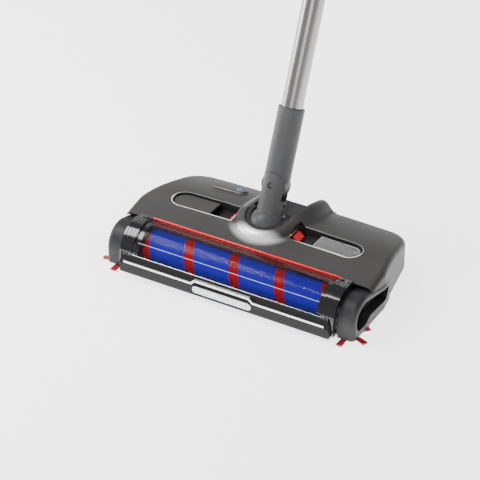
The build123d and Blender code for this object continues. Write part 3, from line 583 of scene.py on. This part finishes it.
def buildBrush(side):
    low, high = corners("side_brush_hub_" + side)
    hub = Vector(((low.x + high.x) / 2, (low.y + high.y) / 2, 0))
    work = bmesh.new()
    for bundle in range(brush["bundles"]):
        facing = -math.pi / 2 + 2 * math.pi * bundle / brush["bundles"]
        out = Vector((math.cos(facing), math.sin(facing), 0))
        across = Vector((-out.y, out.x, 0))
        for strand in range(brush["strands"]):
            addStrand(work, hub, out, across)
    mesh = toMesh("bundles", work)
    name = "brushBundles" + side.title()
    piece = addPiece(name, mesh, "bristleRed", "side_brush_" + side, False)
    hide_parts("side_brush_tufts_" + side)


for side in ("left", "right"):
    buildBrush(side)
print("corner brushes ready")


# open mesh vent: crossed bars under a rim, following the plate's crown
vent = dict(
    pitch=2.6 * mm, bar=0.62 * mm, thick=0.9 * mm, rim=0.9 * mm, shortest=2 * mm,
    acrossSteps=12, alongSteps=24, arcSteps=24,
)


def buildVent():
    low, high = corners("mesh_grille")
    middle = (low.y + high.y) / 2
    radius = (high.y - low.y) / 2
    centre = high.x - radius  # of the rounded end
    opening = radius - vent["rim"]
    surface = surfaceOf("mesh_grille")

    def top(x, y):
        hit = drop(surface, x, y)
        return hit.z if hit else high.z

    def bar(startX, startY, endX, endY, steps):
        points = []
        for k in range(steps + 1):
            x = startX + (endX - startX) * k / steps
            y = startY + (endY - startY) * k / steps
            points.append((x, y, top(x, y) - vent["thick"] / 2))
        return points

    strands = []
    x = low.x + vent["pitch"] / 2
    while x < high.x - vent["rim"]:
        half = opening if x < centre else math.sqrt(max(opening ** 2 - (x - centre) ** 2, 0))
        if half > vent["shortest"]:
            strands.append(bar(x, middle - half, x, middle + half, vent["acrossSteps"]))
        x += vent["pitch"]
    y = low.y + vent["pitch"] / 2
    while y < high.y:
        offset = abs(y - middle)
        if offset < opening:
            end = centre + math.sqrt(opening ** 2 - offset ** 2)
            strands.append(bar(low.x, y, end, y, vent["alongSteps"]))
        y += vent["pitch"]
    mesh = bead("ventBars", strands, vent["bar"] / 2, sides=1)
    piece = addPiece("ventMesh", mesh, "silverMesh", "head")
    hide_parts("mesh_grille")

    inset = vent["rim"] / 2
    outer = radius - inset
    angles = [math.pi * k / vent["arcSteps"] for k in range(vent["arcSteps"] + 1)]
    rim = [(low.x + inset, middle - outer)]
    rim += [(centre + outer * math.sin(a), middle - outer * math.cos(a)) for a in angles]
    rim.append((low.x + inset, middle + outer))
    points = [(x, y, top(x, y) - vent["thick"] / 3) for x, y in rim]
    addPiece("ventRim", bead("ventRim", [points], inset, closed=True), "silverMesh", "head")


buildVent()
print("vent ready")


# power symbol on the button: gap is half the ring's opening, tilt the button's slope, in degrees
symbol = dict(
    radius=2.7 * mm, line=0.42 * mm, gap=38, bar=3.1 * mm, barFrom=0.675 * mm, tilt=16, proud=0.05 * mm,
    ringSteps=28, barSteps=4,
)


def buildSymbol():
    low, high = corners("power_button")
    tilt = math.radians(symbol["tilt"])
    middle = (low + high) / 2
    surface = surfaceOf("power_button")
    along = Vector((0, math.cos(tilt), -math.sin(tilt)))
    across = Vector((1, 0, 0))

    def onTop(u, v):
        at = middle + across * u + along * v
        hit = drop(surface, at.x, at.y) or Vector((at.x, at.y, high.z))
        return hit + Vector((0, 0, symbol["proud"]))

    gap = math.radians(symbol["gap"])
    turn = (2 * math.pi - 2 * gap) / symbol["ringSteps"]
    angles = [gap + turn * k for k in range(symbol["ringSteps"] + 1)]
    ring = [onTop(symbol["radius"] * math.sin(a), symbol["radius"] * math.cos(a)) for a in angles]
    step = symbol["bar"] / symbol["barSteps"]
    bar = [onTop(0, symbol["barFrom"] + step * k) for k in range(symbol["barSteps"] + 1)]
    mesh = bead("powerSymbol", [ring, bar], symbol["line"] / 2)
    addPiece("powerSymbol", mesh, "whiteInk", "power")


buildSymbol()
print("symbol ready")


# bright bead along the front and round the outer end of each recess
recess = dict(
    bead=0.85 * mm, inset=0.9 * mm, inner=44 * mm, sunk=0.25 * mm, probe=2.2 * mm, lineSteps=12, arcStep=9,
    arcPoints=12,
)


def buildRecessBead(sign, side):
    low, high = corners("recess_rims")
    middle = (low.y + high.y) / 2
    radius = (high.y - low.y) / 2 - recess["inset"]
    inner = sign * recess["inner"]
    centre = sign * (high.x - recess["inset"] - radius)
    steps = recess["lineSteps"]
    plan = [(inner + (centre - inner) * k / steps, middle - radius) for k in range(steps + 1)]
    for k in range(1, recess["arcPoints"] + 1):
        angle = math.radians(recess["arcStep"] * k)
        plan.append((centre + sign * radius * math.sin(angle), middle - radius * math.cos(angle)))
    points = []
    for x, y in plan:
        if y < middle:
            height = coverHeight(x, y - recess["probe"])
        else:
            height = coverHeight(x + sign * recess["probe"], y)
        if height:
            points.append((x, y, height - recess["sunk"]))
    mesh = bead("recessBead", [points], recess["bead"])
    addPiece("recessBead" + side, mesh, "silverTrim", "head")


# fine bead round the front of the power pad, by angle from straight forward
padEdge = dict(bead=0.5 * mm, outside=0.5 * mm, probe=2.5 * mm, arcStep=9, leftPoints=10, rightPoints=14)


def buildPadBead():
    low, high = corners("power_pad")
    middle = (low.y + high.y) / 2
    radius = (high.y - low.y) / 2 + padEdge["outside"]
    step = math.radians(padEdge["arcStep"])
    left = [step * k for k in reversed(range(padEdge["leftPoints"]))]
    right = [step * k for k in range(padEdge["rightPoints"])]
    plan = [(low.x + radius - radius * math.sin(a), middle - radius * math.cos(a)) for a in left]
    plan += [(high.x - radius + radius * math.sin(a), middle - radius * math.cos(a)) for a in right]
    points = [(x, y, coverHeight(x, y - padEdge["probe"])) for x, y in plan]
    points = [at for at in points if at[2]]
    addPiece("padBead", bead("padBead", [points], padEdge["bead"]), "coverSilver", "head")


# thin bright lip along the bumper's top
lip = dict(bead=0.5 * mm, half=140 * mm, back=6.9 * mm, sunk=0.2 * mm, steps=20)


def buildLip():
    low, high = corners("front_bumper")
    xs = [-lip["half"] + 2 * lip["half"] * k / lip["steps"] for k in range(lip["steps"] + 1)]
    points = [(x, low.y + lip["back"], high.z - lip["sunk"]) for x in xs]
    addPiece("bumperLip", bead("bumperLip", [points], lip["bead"]), "silverTrim", "head")


# pale rib across the clear window, whose pale tint is a painted highlight line; the window is an arc about an
# axis a little behind and below the roller's
rib = dict(bead=0.28 * mm, half=128 * mm, angle=50, steps=32)
windowArc = dict(behind=2 * mm, below=2.5 * mm)
windowCentre = Vector((0, rollerMid.y + windowArc["behind"], rollerMid.z - windowArc["below"]))


def buildHighlightRib():
    outer = corners("clear_cover")[1].z - windowCentre.z
    angle = math.radians(rib["angle"])
    xs = [-rib["half"] + 2 * rib["half"] * k / rib["steps"] for k in range(rib["steps"] + 1)]
    points = [ringPoint(windowCentre, outer, angle, x) for x in xs]
    addPiece("windowHighlightRib", bead("windowHighlightRib", [points], rib["bead"]), "highlightRibClear", "window")


for sign, side in ((-1, "Left"), (1, "Right")):
    buildRecessBead(sign, side)
buildPadBead()
buildLip()
buildHighlightRib()
print("beads ready")


# ribs, blocks and a screw on each corner bracket; blocks and screwAt give the distances outwards,
# backwards and up, in mm, from the top rear edge of the bracket's inner face
corner = dict(
    ribs=4, ribOut=1.0 * mm, ribPitch=4.4 * mm, ribWide=1.3 * mm, ribHigh=0.9 * mm, ribRoot=0.4 * mm,
    ribChamfer=0.2 * mm, ribRadius=38.6 * mm, ribFrom=-6, ribSweep=86, ribSteps=26, ease=0.5 * mm,
    blocks=[
        ((2.4, -9, -3.1), (7.4, -4, 1.0)),
        ((9.4, -12, -3.1), (14.9, -5, 0)),
        ((1.4, -15, -2.1), (5.4, -11, 0.6)),
    ],
    screwAt=(12.4, -19, -0.8), screwAxis=(0, -0.1, 1), screw=2.6 * mm, screwHigh=1.2 * mm,
)


def buildCorner(sign, side):
    low, high = corners("corner_bracket_" + side.lower())
    inner = min(abs(low.x), abs(high.x))
    section = [  # height above the bracket's arc, distance across the rib
        (-corner["ribRoot"], 0),
        (corner["ribHigh"], corner["ribChamfer"]),
        (corner["ribHigh"], corner["ribWide"] - corner["ribChamfer"]),
        (-corner["ribRoot"], corner["ribWide"]),
    ]
    work = bmesh.new()
    for n in range(corner["ribs"]):
        x = sign * (inner + corner["ribOut"] + n * corner["ribPitch"])
        loops = []
        for k in range(corner["ribSteps"] + 1):
            angle = math.radians(corner["ribFrom"] + corner["ribSweep"] * k / corner["ribSteps"])
            ring = [ringPoint(windowCentre, corner["ribRadius"] + r, angle, x + sign * w) for r, w in section]
            loops.append([work.verts.new(at) for at in ring])
        skin(work, loops)
    bmesh.ops.recalc_face_normals(work, faces=work.faces)

    def spot(out, back, up):
        return (sign * (inner + out * mm), high.y + back * mm, high.z + up * mm)

    for one, other in corner["blocks"]:
        block(work, spot(*one), spot(*other), corner["ease"])
    disc(work, spot(*corner["screwAt"]), corner["screwAxis"], corner["screw"], corner["screwHigh"])
    addPiece("cornerDetail" + side, toMesh("cornerDetail", work), "blackGloss", "head", False)


for sign, side in ((-1, "Left"), (1, "Right")):
    buildCorner(sign, side)
print("corner detail ready")


# rows of flattened beads on the lamp's lens
dots = dict(
    columns=26, rows=3, half=38 * mm, up=2.3 * mm, radius=1.05 * mm, proud=0.35 * mm, around=10, rings=6,
)


def buildLampDots():
    low, high = corners("headlight_lens")
    work = bmesh.new()
    for row in range(dots["rows"]):
        for column in range(dots["columns"]):
            shift = 0.5 if row % 2 else 0.0  # alternate rows stand half a step over
            x = -dots["half"] + 2 * dots["half"] * (column + shift) / dots["columns"]
            z = (low.z + high.z) / 2 + dots["up"] * (row - (dots["rows"] - 1) / 2)
            ball = bmesh.ops.create_uvsphere(
                work, u_segments=dots["around"], v_segments=dots["rings"], radius=dots["radius"])["verts"]
            for v in ball:
                v.co = Vector((v.co.x + x, low.y + v.co.y * dots["proud"] / dots["radius"], v.co.z + z))
    addPiece("lampDots", toMesh("lampDots", work), "lampWhite", "head")


buildLampDots()
print("lamp ready")


# floor, light and camera
ground = dict(
    size=12, below=0.3 * mm, grain=3, dull=(0.9, 0.9, 0.9), pale=(0.92, 0.92, 0.92), rough=0.6, uneven=0.1,
    ior=1.3, glow=2.6, glowLow=(0.97, 0.97, 0.98), glowHigh=(1, 1, 1),
)
sky = dict(colour=(0.95, 0.96, 1), strength=0.5)
lights = {
    "key": dict(at=(-1.0, -0.5, 1.6), size=0.8, power=34),
    "front": dict(at=(0.5, -1.6, 1.0), size=0.9, power=7),
    "back": dict(at=(-0.9, 1.2, 1.2), size=1.0, power=4),
    "left": dict(at=(-1.4, -0.4, 0.5), size=0.6, power=14),
}
aim = Vector((0, 0, 0.05))
view = dict(
    target=(-0.0135, -0.0458, 0.060), azimuth=30.0, elevation=33.3, distance=2.5, sensor=36, lens=150.9375,
)


def buildFloor():
    bpy.ops.mesh.primitive_plane_add(size=ground["size"], location=(0, 0, -ground["below"]))
    floor = bpy.context.object
    floor.name = "floor"
    material, s = newMaterial("floorPaper")
    paper = noise(s, place(s), ground["grain"], 2)
    varying = {
        "Base Color": paper.blend(rgb(ground["dull"]), rgb(ground["pale"])),
        "Roughness": ground["rough"] + ground["uneven"] * paper,
        "Emission Color": paper.blend(rgb(ground["glowLow"]), rgb(ground["glowHigh"])),
    }
    finishSurface(material, s, {"IOR": ground["ior"], "Emission Strength": ground["glow"]}, varying)
    floor.data.materials.append(material)


def buildLights():
    world = bpy.data.worlds.new("studio")
    bpy.context.scene.world = world
    world.use_nodes = True
    background = world.node_tree.nodes["Background"]
    background.inputs["Color"].default_value = rgb(sky["colour"])
    background.inputs["Strength"].default_value = sky["strength"]
    for name, spec in lights.items():
        light = bpy.data.lights.new(name, "AREA")
        light.energy = spec["power"]
        light.size = spec["size"]
        holder = bpy.data.objects.new(name, light)
        holder.location = spec["at"]
        holder.rotation_euler = (aim - Vector(spec["at"])).to_track_quat("-Z", "Y").to_euler()
        bpy.context.collection.objects.link(holder)


def buildCamera():
    azimuth = math.radians(view["azimuth"])
    elevation = math.radians(view["elevation"])
    level = math.cos(elevation)
    away = Vector((math.sin(azimuth) * level, -math.cos(azimuth) * level, math.sin(elevation)))
    eye = bpy.data.cameras.new("eye")
    eye.sensor_width = view["sensor"]
    eye.lens = view["lens"]
    camera = bpy.data.objects.new("camera", eye)
    camera.location = Vector(view["target"]) + away * view["distance"]
    camera.rotation_euler = (-away).to_track_quat("-Z", "Y").to_euler()
    bpy.context.collection.objects.link(camera)
    bpy.context.scene.camera = camera


buildFloor()
buildLights()
buildCamera()
print("studio ready")
